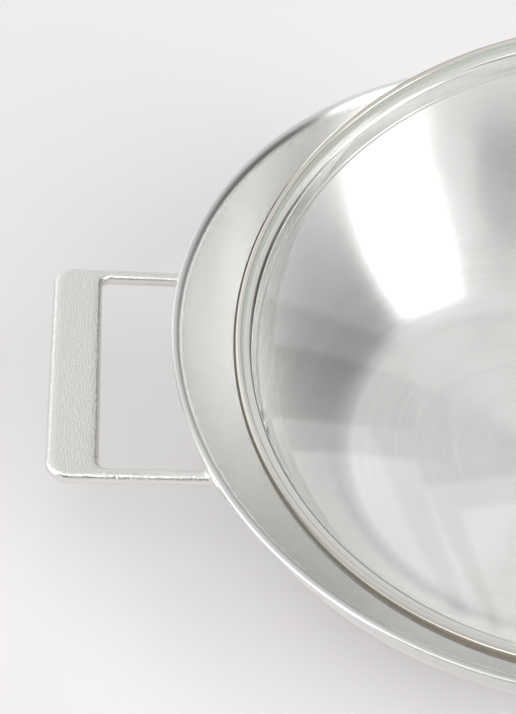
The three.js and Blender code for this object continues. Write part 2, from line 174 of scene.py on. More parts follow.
# %% The bowl's line
def bowl_line(out):
    """Fillet, wall and lip as one line at a distance outside the inner surface.

    The arcs keep their middles: the radii of fillet and wall grow by the distance, and the lip's shrinks by it.
    """
    fillet = arc(FLAT, BASE_INSIDE + FILLET, FILLET + out, -90, WALL_FOOT - 90, 16)
    wall = arc(wall_x, wall_z, WALL_BEND + out, WALL_FOOT - 90, WALL_TOP - 90, 40)[1:]
    lip_middle = wall_top + LIP_BEND * np.array([sind(WALL_TOP), -cosd(WALL_TOP)])
    lip = arc(*lip_middle, LIP_BEND - out, WALL_TOP + 90, LIP_END + 90, LIP_STEPS)[1:]
    return np.vstack([fillet, wall, lip, lip[-1] + lip_land])


# %% The bowl
inside, outside = bowl_line(0), bowl_line(SHEET)
edge_middle = inside[-1] + SHEET / 2 * np.array([sind(LIP_END), -cosd(LIP_END)])
lip_edge = arc(*edge_middle, SHEET / 2, LIP_END - 90, LIP_END + 90, 12)[1:-1]
flat_radii = np.array([2.0, 6, 12, 20, 30, 42, 54, 66, 78])
under = np.stack([flat_radii, np.full_like(flat_radii, CAP_TOP)], -1)
floor_line = np.stack([flat_radii[::-1], np.full_like(flat_radii, BASE_INSIDE)], -1)
bowl_profile = np.vstack([[0, CAP_TOP], under, outside, lip_edge, inside[::-1], floor_line, [0, BASE_INSIDE]])
walked = np.concatenate([[0], np.cumsum(np.linalg.norm(np.diff(bowl_profile[1:-1], axis=0), axis=1))])
lip_points = LIP_STEPS + 1
to_lip_edge = len(under) + len(outside)
lip_starts = walked[to_lip_edge - lip_points - 1]
lip_ends = walked[to_lip_edge + len(lip_edge) + lip_points]
bowl = turned("steel_bowl", bowl_profile)
finish_piece(bowl, "wok", "wok_bowl")
print(f"buffed lip from {lip_starts:.1f} to {lip_ends:.1f} mm along the profile")

# %% [markdown]
# ## The base
# A flat pan spreads heat with an aluminium disc that is brazed under it and closed in by a thin steel cap.
# Only the cap shows. The disc inside stays as the CAD solid and only gets its material.

# %% The cap under the base
CORE_RADIUS, CAP_SHEET, CAP_CORNER, CAP_CHAMFER, BRAZE_GAP = 86.0, 0.8, 2.5, 0.2, 0.3
cap_inside = CORE_RADIUS + BRAZE_GAP
cap_outside = cap_inside + CAP_SHEET
cap_rings = np.array([2.0, 10, 22, 36, 50, 64, 76])
cap_profile = np.vstack([
    [0, 0],
    np.stack([cap_rings, np.zeros_like(cap_rings)], -1),
    arc(cap_outside - CAP_CORNER, CAP_CORNER, CAP_CORNER, -90, 0, 10),
    [[cap_outside, CAP_TOP - CAP_CHAMFER], [cap_outside - CAP_CHAMFER, CAP_TOP]],
    [[cap_inside, CAP_TOP], [cap_inside, CAP_SHEET]],
    np.stack([cap_rings[::-1], np.full_like(cap_rings, CAP_SHEET)], -1),
    [0, CAP_SHEET],
])
cap = turned("base_disc_cap", cap_profile)
finish_piece(cap, "wok", "base_cap")
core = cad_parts["base_core"]

# %% [markdown]
# ## Loops with rounded edges
# The side handles and the lid's handle are flat loops with one outline outside and one inside.
# Both outlines have the same number of corners, so they can be walked in step and every step gives one section.
# The rounding is a quarter circle along each outline's own normal, so that wide grip and slim arm get the same edge.

# %% An outline with rounded corners
def outline(corners, radius, straight, bend, closed):
    """Points and directions along straight runs with right-angled corners, each rounded by the radius.

    On a corner: c - r d0 + r (sin a d0 + (1 - cos a) d1), with direction cos a d0 + sin a d1.
    """
    corners = np.asarray(corners, float)
    ahead = np.roll(corners, -1, 0) - corners
    ahead = ahead / np.linalg.norm(ahead, axis=1, keepdims=True)
    a = np.radians(np.linspace(0, 90, bend))[:, None]
    first = 0 if closed else 1
    last = len(corners) - first
    legs = []
    for i in range(first, last):
        d0, d1 = ahead[i - 1], ahead[i]
        points = corners[i] - radius * d0 + radius * (np.sin(a) * d0 + (1 - np.cos(a)) * d1)
        legs.append((points, np.cos(a) * d0 + np.sin(a) * d1))
    points, ways = [], []
    share = np.linspace(0, 1, straight + 2)[1:-1, None]
    for i, (bent, way) in enumerate(legs):
        before = legs[i - 1][0][-1] if closed or i else corners[0]
        shares = share if closed or i else np.vstack([[[0]], share])
        points += [before + shares * (bent[0] - before), bent]
        ways += [np.repeat(way[:1], len(shares), 0), way]
    if not closed:
        shares = np.vstack([share, [[1]]])
        points.append(legs[-1][0][-1] + shares * (corners[-1] - legs[-1][0][-1]))
        ways.append(np.repeat(legs[-1][1][-1:], len(shares), 0))
    return np.vstack(points), np.vstack(ways)


# %% Sections between two outlines
def loop_rings(outer, inner, left_is_in, thickness, edge, across=6, bend=6):
    """Sections between two outlines walked in step, as (along, across, depth) with depth from 0 to the thickness.

    The edge is an arc: in by edge (1 - cos a) along the outline's normal, up by edge sin a.
    """
    (out_points, out_ways), (in_points, in_ways) = outer, inner
    turn = np.array([[0, 1], [-1, 0]]) * (1 if left_is_in else -1)
    out_in, in_out = out_ways @ turn, -in_ways @ turn
    a = np.radians(np.linspace(0, 90, bend))
    inset, lift = edge * (1 - np.cos(a)), edge * np.sin(a)
    out_side = out_points[:, None] + inset[None, :, None] * out_in[:, None]
    in_side = in_points[:, None] + inset[None, :, None] * in_out[:, None]
    share = np.linspace(0, 1, across + 2)[1:-1]
    face = out_side[:, -1:] + share[None, :, None] * (in_side[:, -1:] - out_side[:, -1:])
    top = np.concatenate([out_side, face, in_side[:, ::-1]], 1)
    height = np.concatenate([thickness - edge + lift, np.full(across, thickness), thickness - edge + lift[::-1]])
    low = np.concatenate([edge - lift, np.zeros(across), edge - lift[::-1]])
    upper = np.concatenate([top, np.broadcast_to(height[None, :, None], top.shape[:2] + (1,))], 2)
    lower = np.concatenate([top, np.broadcast_to(low[None, :, None], top.shape[:2] + (1,))], 2)
    return np.concatenate([upper, lower[:, ::-1]], 1)


# %% [markdown]
# ## The side handles
# Each handle is one steel casting: a wide flat grip, two slim arms and a foot on each arm, welded to the wall.
# The loop is drawn flat, tilted up and its arms are run on until they are a little above the wall.
# From there the rings go over to the wall's own coordinates: distance round the bowl, distance up the wall
# and height above it. There the foot is a fillet, a flat pad with rounded edges and a side that ends at the weld.

# %% Sizes of the side handles
REACH, HALF_WIDTH, GRIP, ARM, THICK = 234.8, 60.1, 22.7, 5.8, 6.0
CORNER, WINDOW_CORNER, EDGE = 10.0, 3.5, 2.2
RISE, DROP = 6.3, 21.7
FOOT_WIDTH, FOOT_HEIGHT, FOOT_THICK, FOOT_CORNER, WELD_GAP = 24.0, 17.0, 3.5, 5.0, 0.3
FOOT_FILLET, FOOT_OVERSHOOT = 2.0, 0.6
ARM_START, STRAIGHT, BEND = -20.0, 24, 14


def wall_height(points):
    """Height above the bowl's outside wall: distance from the wall arc's centre less its outer radius."""
    r = np.hypot(points[..., 0], points[..., 1])
    return np.hypot(r - wall_x, points[..., 2] - wall_z) - WALL_BEND - SHEET


def on_wall(around, up, height):
    """Points at an angle round the bowl, an angle on the wall's arc and a height above the outside wall."""
    r = wall_x + (WALL_BEND + SHEET + height) * np.cos(up)
    z = wall_z + (WALL_BEND + SHEET + height) * np.sin(up)
    return np.stack([r * np.cos(around), r * np.sin(around), z], -1)


# %% The loop of a side handle, from wall to wall
end = (REACH - RIM) / cosd(RISE)
grip_in = end - GRIP
window = HALF_WIDTH - ARM


def arms_and_grip(far, half, radius):
    """Outline from one arm's start round the grip to the other arm's start."""
    corners = [[ARM_START, -half], [far, -half], [far, half], [ARM_START, half]]
    return outline(corners, radius, STRAIGHT, BEND, False)


outer = arms_and_grip(end, HALF_WIDTH, CORNER)
inner = arms_and_grip(grip_in, window, WINDOW_CORNER)
flat_rings = loop_rings(outer, inner, True, THICK, EDGE)
tilt = np.array([[cosd(RISE), 0, sind(RISE)], [0, 1, 0], [-sind(RISE), 0, cosd(RISE)]])
handle_rings = (flat_rings - [0, 0, THICK]) @ tilt + [RIM, 0, LIP_TOP - DROP]
print(f"side handle: {len(handle_rings)} sections, window {2 * window:.1f} mm wide")


def run_to_wall(ring, height):
    """Moves a ring along the arm until each point has that height above the wall; the slope comes from a small step."""
    step = 0.01
    for _ in range(12):
        off = wall_height(ring) - height
        slope = (wall_height(ring + tilt[0] * step) - wall_height(ring)) / step
        ring = ring - (off / slope)[:, None] * tilt[0]
    return ring


# %% The feet of a side handle
def foot_rings(arm_end):
    """Rings from the arm's end over the foot to the wall, and the point that closes the foot against the wall.

    The pad's outline is the arm's section stretched over the pad, clipped to its box and moved out by the corner.
    The fillet goes out by f (1 - cos a) at a height of f (1 - sin a) above the pad. At the pad's edge the rings lie
    e (1 - sin a) inside the outline and e (1 - cos a) below the pad's face.
    """
    around = np.arctan2(arm_end[:, 1], arm_end[:, 0])
    up = np.arctan2(arm_end[:, 2] - wall_z, np.hypot(arm_end[:, 0], arm_end[:, 1]) - wall_x)
    mid_around, mid_up = (around.max() + around.min()) / 2, (up.max() + up.min()) / 2
    radius_here = np.hypot(arm_end[:, 0], arm_end[:, 1]).mean()
    flat = np.stack([(around - mid_around) * radius_here, (up - mid_up) * (WALL_BEND + SHEET)], -1)
    way = np.arctan2(flat[:, 1] / np.abs(flat[:, 1]).max(), flat[:, 0] / np.abs(flat[:, 0]).max())
    box = np.array([FOOT_WIDTH, FOOT_HEIGHT]) / 2 - FOOT_CORNER
    ray = np.stack([np.cos(way), np.sin(way)], -1)
    core_point = np.clip(flat / np.abs(flat).max(0) * (box + FOOT_CORNER * FOOT_OVERSHOOT), -box, box)
    pad = core_point + FOOT_CORNER * ray
    out = pad - flat
    out = out / np.linalg.norm(out, axis=1, keepdims=True)
    a = np.radians(np.linspace(0, 90, 6))[1:, None, None]
    flare = flat + FOOT_FILLET * (1 - np.cos(a)) * out
    flare_height = FOOT_THICK + FOOT_FILLET * (1 - np.sin(a))
    rim = pad - EDGE * out
    share = np.linspace(0, 1, 5)[1:, None, None]
    face = flare[-1] + share * (rim - flare[-1])
    turn_over = pad - EDGE * (1 - np.sin(a)) * out
    turn_height = FOOT_THICK - EDGE * (1 - np.cos(a))
    heights = [flare_height, np.full_like(share, FOOT_THICK), turn_height, np.full((1, 1, 1), WELD_GAP)]
    spots = np.concatenate([flare, face, turn_over, pad[None]])
    height = np.broadcast_to(np.concatenate(heights)[..., 0], spots.shape[:2])
    rings = on_wall(mid_around + spots[..., 0] / radius_here, mid_up + spots[..., 1] / (WALL_BEND + SHEET), height)
    return rings, on_wall(mid_around, mid_up, WELD_GAP)


# %% Both side handles
reach_in = FOOT_THICK + FOOT_FILLET
first_arm = run_to_wall(handle_rings[0], reach_in)
last_arm = run_to_wall(handle_rings[-1], reach_in)
leg = STRAIGHT + 1
share = np.linspace(0, 1, leg)[:-1, None, None]
first_leg = first_arm + share * (handle_rings[leg] - first_arm)
last_leg = last_arm + share * (handle_rings[-leg - 1] - last_arm)
first_foot, first_end = foot_rings(first_arm)
last_foot, last_end = foot_rings(last_arm)
cast_rings = np.concatenate([first_foot[::-1], first_leg, handle_rings[leg:-leg], last_leg[::-1], last_foot])
turned_round = np.diag([-1.0, -1.0, 1.0])
right_handle = skin("right_loop_handle", cast_rings, first_end, last_end)
left_handle = skin("left_loop_handle", cast_rings @ turned_round, first_end @ turned_round, last_end @ turned_round)
finish_piece(right_handle, "wok", "right_handle")
finish_piece(left_handle, "wok", "left_handle")

# %% [markdown]
# ## How the lid lies
# The lid leans on the wok's lip. Its tilt and place were worked out in the CAD source, so they are measured here.
# All points of the rim's solid lie round the lid's axis: their mean is on it, and the direction in which they
# spread least is the axis. The lowest point along it is the flange's edge, which fixes the height.

# %% The lid's own axes
FLANGE_HEIGHT = 11.5
rim_points = np.array([v.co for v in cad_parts["lid_rim"].data.vertices]) / MM
rim_middle = (np.unique(np.round(rim_points, 3), axis=0)).mean(0)
directions = np.linalg.svd(rim_points - rim_middle, full_matrices=False)[2]
lid_up = directions[2] * np.sign(directions[2][2])
lid_forward = np.array([0, 0, 1.0]) - lid_up[2] * lid_up
lid_forward /= np.linalg.norm(lid_forward)
lid_axes = np.stack([lid_forward, np.cross(lid_up, lid_forward), lid_up])
seat = rim_middle + (((rim_points - rim_middle) @ lid_up).min() + FLANGE_HEIGHT) * lid_up
lid_stand = (lid_axes, seat)
print(f"lid tilt {np.degrees(np.arccos(lid_up[2])):.2f} degrees, seat at {np.round(seat, 2).tolist()} mm")

# %% [markdown]
# ## The lid's rim
# One strip of bright steel is rolled to a channel that grips the glass, a flat seat and a flange with a folded edge.
# The profile is drawn with true bends, because each bend shows as a fine light or dark line in bright steel.

# %% The rolled rim
LID_RADIUS, RIM_SHEET, RIM_LAP, RIM_CORNER = 176.7, 0.7, 4.0, 1.9
SEAT_WIDTH, FLANGE_BEND, HEM = 8.5, 1.4, 2.6
SEAL, GLASS, FIT = 0.7, 4.0, 0.3
band = 2 * RIM_SHEET + 2 * SEAL + GLASS + 4 * FIT
flange = LID_RADIUS - SEAT_WIDTH
corner = LID_RADIUS - RIM_CORNER
bend_x = flange + FLANGE_BEND
low = -FLANGE_HEIGHT
lap = LID_RADIUS - RIM_LAP
half_sheet = RIM_SHEET / 2
flange_to_band = np.vstack([
    arc(flange - RIM_SHEET, low + RIM_SHEET, RIM_SHEET, -90, 0, 6),
    arc(bend_x, -FLANGE_BEND, FLANGE_BEND, 180, 90, 8),
    arc(corner, RIM_CORNER, RIM_CORNER, -90, 0, 8),
])
top_corner = arc(corner, band - RIM_CORNER, RIM_CORNER, 0, 90, 10)
rim_profile = np.vstack([
    flange_to_band,
    top_corner,
    arc(lap + half_sheet, band - half_sheet, half_sheet, 90, 270, 6),
    arc(corner, band - RIM_CORNER, RIM_CORNER - RIM_SHEET, 90, 0, 4),
    arc(corner, RIM_CORNER, RIM_CORNER - RIM_SHEET, 0, -90, 4),
    arc(bend_x, -FLANGE_BEND, FLANGE_BEND + RIM_SHEET, 90, 180, 8),
    arc(flange - 1.5 * RIM_SHEET, low + HEM - half_sheet, half_sheet, 0, 180, 6),
    arc(flange - RIM_SHEET, low + RIM_SHEET, RIM_SHEET, 180, 270, 6)[:-1],
])
rim_walk = np.concatenate([[0], np.cumsum(np.linalg.norm(np.diff(rim_profile, axis=0), axis=1))])
top_edge = rim_walk[len(flange_to_band) + 1]
lap_starts = rim_walk[len(flange_to_band) + len(top_corner)]
lid_rim = turned("rolled_lid_rim", rim_profile, lid_stand)
finish_piece(lid_rim, "lid", "lid_rim")
print(f"the strip turns over the glass from {top_edge:.1f} to {lap_starts:.1f} mm along its profile")

# %% [markdown]
# ## Seal and glass
# A thin silicone channel keeps glass and steel apart. The glass is 4 mm thick with a flat edge, a fillet and a dome
# of one radius. It is a real thickness and not a single sheet, so that both of its surfaces bend and mirror light.

# %% The seal
seal_out, seal_in = LID_RADIUS - RIM_SHEET - FIT, lap
seal_low, seal_high = RIM_SHEET + FIT, band - RIM_SHEET - FIT
seal_bend = RIM_CORNER - RIM_SHEET
seal_profile = np.vstack([
    [seal_in, seal_low],
    arc(seal_out - seal_bend, seal_low + seal_bend, seal_bend, -90, 0, 5),
    arc(seal_out - seal_bend, seal_high - seal_bend, seal_bend, 0, 90, 5),
    arc(seal_in, seal_high - SEAL / 2, SEAL / 2, 90, 270, 6),
    [[seal_out - SEAL, seal_high - SEAL], [seal_out - SEAL, seal_low + SEAL]],
    arc(seal_in, seal_low + SEAL / 2, SEAL / 2, 90, 270, 6)[:-1],
])
seal = turned("silicone_seal", seal_profile, lid_stand)
finish_piece(seal, "lid", "lid_seal")

# %% The glass
GLASS_LAND, GLASS_FILLET, DOME_RISE, GLASS_HOLE, GROUND = 3.2, 6.0, 42.0, 4.6, 1.0
glass_edge = seal_out - SEAL - FIT
glass_low = seal_low + SEAL + FIT
glass_high = glass_low + GLASS
dome_edge = glass_edge - GLASS_LAND
dome_angle = 2 * np.degrees(np.arctan(DOME_RISE / dome_edge))
dome = dome_edge / sind(dome_angle) - GLASS_FILLET
dome_z = glass_high + DOME_RISE - dome


def hole_angle(radius):
    """Angle from the horizontal at which a dome of that radius meets the screw's hole: arccos(hole / radius)."""
    return np.degrees(np.arccos(GLASS_HOLE / radius))


glass_profile = np.vstack([
    arc(0, dome_z, dome - GLASS, hole_angle(dome - GLASS), 90 - dome_angle, 60),
    arc(dome_edge, glass_high + GLASS_FILLET, GLASS_FILLET + GLASS, -90 - dome_angle, -90, 12)[1:],
    arc(glass_edge - GROUND, glass_low + GROUND, GROUND, -90, 0, 5),
    arc(glass_edge - GROUND, glass_high - GROUND, GROUND, 0, 90, 5),
    arc(dome_edge, glass_high + GLASS_FILLET, GLASS_FILLET, -90, -90 - dome_angle, 12),
    arc(0, dome_z, dome, 90 - dome_angle, hole_angle(dome), 60)[1:],
])
glass = turned("domed_glass", glass_profile, lid_stand)
finish_piece(glass, "lid", "lid_glass")

# %% [markdown]
# ## The lid's handle and what holds it
# The photograph ends before the middle of the lid, so its handle is a loop in the style of the side handles.
# One screw from below holds it, with a silicone washer on each side of the glass and a steel washer under the head.

# %% The loop on the lid
LOOP_LENGTH, LOOP_HEIGHT, LOOP_WIDTH, LOOP_CORNER = 86.0, 39.0, 22.0, 11.0
LOOP_ARM, LOOP_GRIP, LOOP_FOOT, LOOP_WINDOW = 6.0, 6.5, 8.0, 4.0
WASHER, UPPER_WASHER, LOWER_WASHER = 14.0, 1.6, 1.6
upper_low = dome_z + dome + FIT
loop_low = upper_low + UPPER_WASHER + FIT
half = LOOP_LENGTH / 2
side_out = [[-half, 0], [half, 0], [half, LOOP_HEIGHT], [-half, LOOP_HEIGHT]]
hole_out = half - LOOP_ARM
hole_low, hole_high = LOOP_FOOT, LOOP_HEIGHT - LOOP_GRIP
side_in = [[-hole_out, hole_low], [hole_out, hole_low], [hole_out, hole_high], [-hole_out, hole_high]]
loop = loop_rings(outline(side_out, LOOP_CORNER, 14, 12, True), outline(side_in, LOOP_WINDOW, 14, 12, True),
                  True, LOOP_WIDTH, EDGE, across=4)
loop_points = np.stack([loop[..., 0], LOOP_WIDTH / 2 - loop[..., 2], loop_low + loop[..., 1]], -1)
lid_handle = skin("lid_loop_handle", loop_points @ lid_axes + seat)
finish_piece(lid_handle, "lid", "lid_handle")

# %% The washers
SCREW, STEEL_WASHER, STEEL_WASHER_HEIGHT = 2.8, 11.0, 1.2
SMALL_TURN = 96
screw_hole = SCREW + FIT
lower_high = dome_z + np.sqrt((dome - GLASS) ** 2 - WASHER ** 2) - FIT
steel_high = lower_high - LOWER_WASHER - FIT


def washer(name, node, radius, top, height):
    """A flat ring whose two outer edges are rounded by a third of its height."""
    bend = height / 3
    profile = np.vstack([
        [screw_hole, top - height],
        arc(radius - bend, top - height + bend, bend, -90, 0, 5),
        arc(radius - bend, top - bend, bend, 0, 90, 5),
        [screw_hole, top],
    ])
    made = turned(name, profile, lid_stand, SMALL_TURN)
    finish_piece(made, "lid", node)
    return made


upper_high = upper_low + UPPER_WASHER
upper_washer = washer("upper_silicone_washer", "upper_washer", WASHER, upper_high, UPPER_WASHER)
lower_washer = washer("lower_silicone_washer", "lower_washer", WASHER, lower_high, LOWER_WASHER)
steel_washer = washer("screw_washer", "steel_washer", STEEL_WASHER, steel_high, STEEL_WASHER_HEIGHT)

# %% The screw
SCREW_HEAD, HEAD_HEIGHT, BITE = 6.0, 3.2, 5.5
SOCKET, SOCKET_MOUTH, SOCKET_DEPTH, THREAD_CHAMFER = 1.9, 2.3, 1.6, 0.6
head_high = steel_high - STEEL_WASHER_HEIGHT - FIT
head_low = head_high - HEAD_HEIGHT
screw_end = loop_low + BITE
screw_profile = np.vstack([
    [[0, head_low + SOCKET_DEPTH], [SOCKET, head_low + SOCKET_DEPTH], [SOCKET_MOUTH, head_low]],
    arc(SCREW_HEAD - HEAD_HEIGHT / 2, head_low + HEAD_HEIGHT / 2, HEAD_HEIGHT / 2, -90, 0, 8),
    [[SCREW_HEAD, head_high], [SCREW, head_high], [SCREW, screw_end - THREAD_CHAMFER]],
    [[SCREW - THREAD_CHAMFER, screw_end], [0, screw_end]],
])
screw = turned("lid_handle_screw", screw_profile, lid_stand, SMALL_TURN)
finish_piece(screw, "lid", "lid_screw")

# %% [markdown]
# ## Colours and nodes
# Colours are written as hex values, as they look on a screen. Blender's shaders want linear light, so one function
# turns them. One more function adds a node with its settings and links, which keeps each material short.

# %% Hex colours and one helper for nodes
def linear(hex_colour):
    """sRGB to linear light: c / 12.92 below 0.04045, and ((c + 0.055) / 1.055) ** 2.4 above."""
    c = np.array([int(hex_colour[i:i + 2], 16) for i in (1, 3, 5)]) / 255
    lin = np.where(c < 0.04045, c / 12.92, ((c + 0.055) / 1.055) ** 2.4)
    return (*lin.tolist(), 1.0)


def add(tree, kind, inputs=None, **settings):
    """Adds a node, sets its properties, then sets or links its inputs."""
    made = tree.nodes.new(kind)
    for key, value in settings.items():
        setattr(made, key, value)
    for key, value in (inputs or {}).items():
        if isinstance(value, bpy.types.NodeSocket):
            tree.links.new(value, made.inputs[key])
        else:
            made.inputs[key].default_value = value
    return made


def new_material(name):
    """A material with an empty node tree, and that tree."""
    made = bpy.data.materials.new(name)
    made.use_nodes = True
    made.node_tree.nodes.clear()
    print("material:", name)
    return made, made.node_tree


# %% [markdown]
# ## What the finishes share
# Every finish starts from a pattern of noise. The pattern spreads the roughness over a small range and blends two
# close tones, because no real surface is the same all over. Then a surface joins it all to the material's output.

# %% Patterns, tones and surfaces
NOISE_LOW, NOISE_HIGH = 0.3, 0.7


def noise(tree, where, scale, detail=2.0, roughness=0.5):
    """A noise pattern, which stays mostly between NOISE_LOW and NOISE_HIGH."""
    inputs = {"Vector": where, "Scale": scale, "Detail": detail, "Roughness": roughness}
    return add(tree, "ShaderNodeTexNoise", inputs).outputs[0]


def spread(tree, pattern, low, high):
    """Goes from low to high while a pattern goes from NOISE_LOW to NOISE_HIGH, and no further."""
    inputs = {0: pattern, 1: NOISE_LOW, 2: NOISE_HIGH, 3: low, 4: high}
    return add(tree, "ShaderNodeMapRange", inputs).outputs[0]


def ramp(tree, value, start, end, low=0.0, high=1.0):
    """A soft step from low at the start to high at the end: t t (3 - 2 t), with t the share of the way."""
    inputs = {0: value, 1: start, 2: end, 3: low, 4: high}
    return add(tree, "ShaderNodeMapRange", inputs, interpolation_type="SMOOTHSTEP").outputs[0]


def blend(tree, share, first, second):
    """A tone between two hex colours, in linear light: first + share (second - first)."""
    inputs = {0: share, 6: linear(first), 7: linear(second)}
    return add(tree, "ShaderNodeMix", inputs, data_type="RGBA").outputs[2]


def times(tree, vector, factors):
    """A vector with each of its parts multiplied."""
    return add(tree, "ShaderNodeVectorMath", {0: vector, 1: factors}, operation="MULTIPLY").outputs[0]


def surface(tree, inputs):
    """The shader of a material, joined to its output."""
    shader = add(tree, "ShaderNodeBsdfPrincipled", inputs)
    add(tree, "ShaderNodeOutputMaterial", {"Surface": shader.outputs[0]})


# %% [markdown]
# ## Satin stainless steel, brushed in circles
# The bowl is brushed on a lathe. Fine grooves run round it and scatter light across themselves, along the profile,
# so highlights stretch into fans that point at the middle. The lip is buffed after it and has no grooves,
# but it is drawn softer than a mirror, as the near lip looks in the photograph.
# The finest scratches go every way and scatter light as a matt surface does: that is the share that isn't metallic.
# Real grooves are 0.05 to 0.2 mm apart. They are drawn 1 mm apart, or the picture would not show them.

# %% Satin steel
GROOVE, GROOVES_PER_TURN = 1.0, 4
GROOVE_DEPTH, GROOVE_BITE, METAL_SHARE = 0.05, 0.02, 0.8
BUFFED_FADE, LIP_ROUGHNESS = 1.5, 0.31
satin, tree = new_material("stainless_steel_lathe_brushed")
strip = add(tree, "ShaderNodeAttribute", attribute_name="strip").outputs["Vector"]
pull = add(tree, "ShaderNodeAttribute", attribute_name="pull").outputs["Vector"]
along = add(tree, "ShaderNodeSeparateXYZ", {0: strip}).outputs[2]
round_scale = GROOVES_PER_TURN / (2 * np.pi)
groove = noise(tree, times(tree, strip, (round_scale, round_scale, 1 / GROOVE)), 1.0, roughness=0.6)
onto_lip = ramp(tree, along, lip_starts - BUFFED_FADE, lip_starts)
off_lip = ramp(tree, along, lip_ends, lip_ends + BUFFED_FADE, 1.0, 0.0)
buffed = add(tree, "ShaderNodeMath", {0: onto_lip, 1: off_lip}, operation="MULTIPLY").outputs[0]
rough = add(tree, "ShaderNodeMix", {0: buffed, 2: spread(tree, groove, 0.24, 0.27), 3: LIP_ROUGHNESS})
bite = add(tree, "ShaderNodeMapRange", {0: buffed, 3: GROOVE_BITE, 4: 0.0})
bare = add(tree, "ShaderNodeMapRange", {0: buffed, 3: METAL_SHARE, 4: 1.0})
bump = add(tree, "ShaderNodeBump", {"Height": groove, "Strength": bite.outputs[0], "Distance": GROOVE_DEPTH * MM})
surface(tree, {
    "Base Color": blend(tree, groove, "#dcdcda", "#ececea"), "Metallic": bare.outputs[0],
    "Roughness": rough.outputs[0], "Anisotropic": 0.9, "Tangent": pull, "Normal": bump.outputs[0],
})
bowl.data.materials.append(satin)

# %% [markdown]
# ## Polished steel
# The base cap, the washer and the screw are polished sheet. They mirror nearly sharply, with faint rolling lines
# round the piece, half a millimetre apart. One even roughness would look like chrome paint, so the lines vary it.

# %% Polished steel
ROLLING_GAP = 0.5
ROLLING = (3, 3, 1 / ROLLING_GAP)
polish, tree = new_material("stainless_steel_polished_sheet")
strip = add(tree, "ShaderNodeAttribute", attribute_name="strip").outputs["Vector"]
lines = noise(tree, times(tree, strip, ROLLING), 1.0)
surface(tree, {
    "Base Color": blend(tree, lines, "#cbc7c0", "#d5d1ca"), "Metallic": 1.0,
    "Roughness": spread(tree, lines, 0.09, 0.16),
})
for piece in (cap, steel_washer, screw):
    piece.data.materials.append(polish)

# %% [markdown]
# ## The rolled strip of the rim
# The rim is bright rolled strip and mirrors more sharply than the sheet. The photograph shows its outer band brown
# and the part that lies over the glass clean. The outer band's base colour is a painted reflection: it is drawn darker
# and brown, as the brown of the room would mirror in it, and goes over to clean steel where the strip lies over the
# glass. The brown is drawn as a straw-coloured heat tint of the steel, although one picture can't tell that from the
# reflection of something brown in the room.

# %% Rolled strip
rolled_strip, tree = new_material("stainless_steel_bright_rolled")
strip = add(tree, "ShaderNodeAttribute", attribute_name="strip").outputs["Vector"]
along = add(tree, "ShaderNodeSeparateXYZ", {0: strip}).outputs[2]
lines = noise(tree, times(tree, strip, ROLLING), 1.0)
# Painted reflection: the outer band's colour is darker and brown, and it fades to clean steel over the glass.
painted_reflection_gone = ramp(tree, along, top_edge, lap_starts)
surface(tree, {
    "Base Color": blend(tree, painted_reflection_gone, "#aba295", "#d8d6d1"), "Metallic": 1.0,
    "Roughness": spread(tree, lines, 0.08, 0.13),
})
lid_rim.data.materials.append(rolled_strip)

# %% [markdown]
# ## Cast steel, bead-blasted
# The handles are cast and blasted with fine glass beads, which leaves an even, pebbled satin skin.
# The dimples are about 0.4 mm wide. They are drawn 0.7 mm wide so that they show as the sparkle in the photograph.

# %% Cast steel
DIMPLE, DIMPLE_DEPTH, CLOUD = 0.7, 0.38, 14.0
cast, tree = new_material("cast_steel_bead_blasted")
place = add(tree, "ShaderNodeTexCoord").outputs["Object"]
dimples = noise(tree, place, 1 / (DIMPLE * MM))
cloud = noise(tree, place, 1 / (CLOUD * MM), 3.0)
bump = add(tree, "ShaderNodeBump", {"Height": dimples, "Strength": 0.8, "Distance": DIMPLE_DEPTH * MM})
surface(tree, {
    "Base Color": blend(tree, dimples, "#e0dfdc", "#eeedea"), "Metallic": 1.0,
    "Roughness": spread(tree, cloud, 0.16, 0.22), "Normal": bump.outputs[0],
})
for piece in (left_handle, right_handle, lid_handle):
    piece.data.materials.append(cast)

# %% [markdown]
# ## Tempered glass
# Soda-lime glass is clear with a slight green tint and an index of refraction of 1.52.
# Tempering leaves waves of a few centimetres, far too low to see except that they soften straight reflections.

# %% Tempered glass
WAVE, WAVE_DEPTH = 45.0, 0.2
clear, tree = new_material("soda_lime_glass_tempered")
place = add(tree, "ShaderNodeTexCoord").outputs["Object"]
waves = noise(tree, place, 1 / (WAVE * MM), 1.0)
bump = add(tree, "ShaderNodeBump", {"Height": waves, "Strength": 0.3, "Distance": WAVE_DEPTH * MM})
surface(tree, {
    "Base Color": linear("#fcfefd"), "Roughness": 0.0, "IOR": 1.52, "Transmission Weight": 1.0,
    "Normal": bump.outputs[0],
})
glass.data.materials.append(clear)

# %% [markdown]
# ## Light under the lid
# Scattered rays and shadow rays pass the lid's glass, rim and seal, so these throw no shadow and aren't mirrored
# in the bowl. Real light does not do that. Without it the bowl under the glass renders 13 to 24 % darker and the
# open wall beside the rim 38 to 66 % darker. On the whole the picture comes nearer to the photograph with it.

# %% Scattered light passes the lid
passed = (glass, lid_rim, seal)
for piece in passed:
    piece.visible_diffuse = False
    piece.visible_glossy = False
    piece.visible_shadow = False
print("scattered light passes:", ", ".join(piece.name for piece in passed))

# %% [markdown]
# ## Silicone and the hidden disc
# The silicone is moulded, milky and dull. Light that goes into it could be drawn too, but only a thin edge shows.
# The aluminium disc is plain rolled plate and can only be seen if the base is cut open, so its finish is simple:
# 40 lines per metre along the rolling and 1500 across it.

# %% Silicone and aluminium
MILKY = 2.5
PLATE_LINES = (40.0, 1500.0, 1500.0)
rubber, tree = new_material("silicone_moulded_milky")
place = add(tree, "ShaderNodeTexCoord").outputs["Object"]
grain = noise(tree, place, 1 / (MILKY * MM))
surface(tree, {
    "Base Color": blend(tree, grain, "#a8aca2", "#b4b8ae"), "Roughness": spread(tree, grain, 0.45, 0.6), "IOR": 1.41,
})
for piece in (seal, upper_washer, lower_washer):
    piece.data.materials.append(rubber)

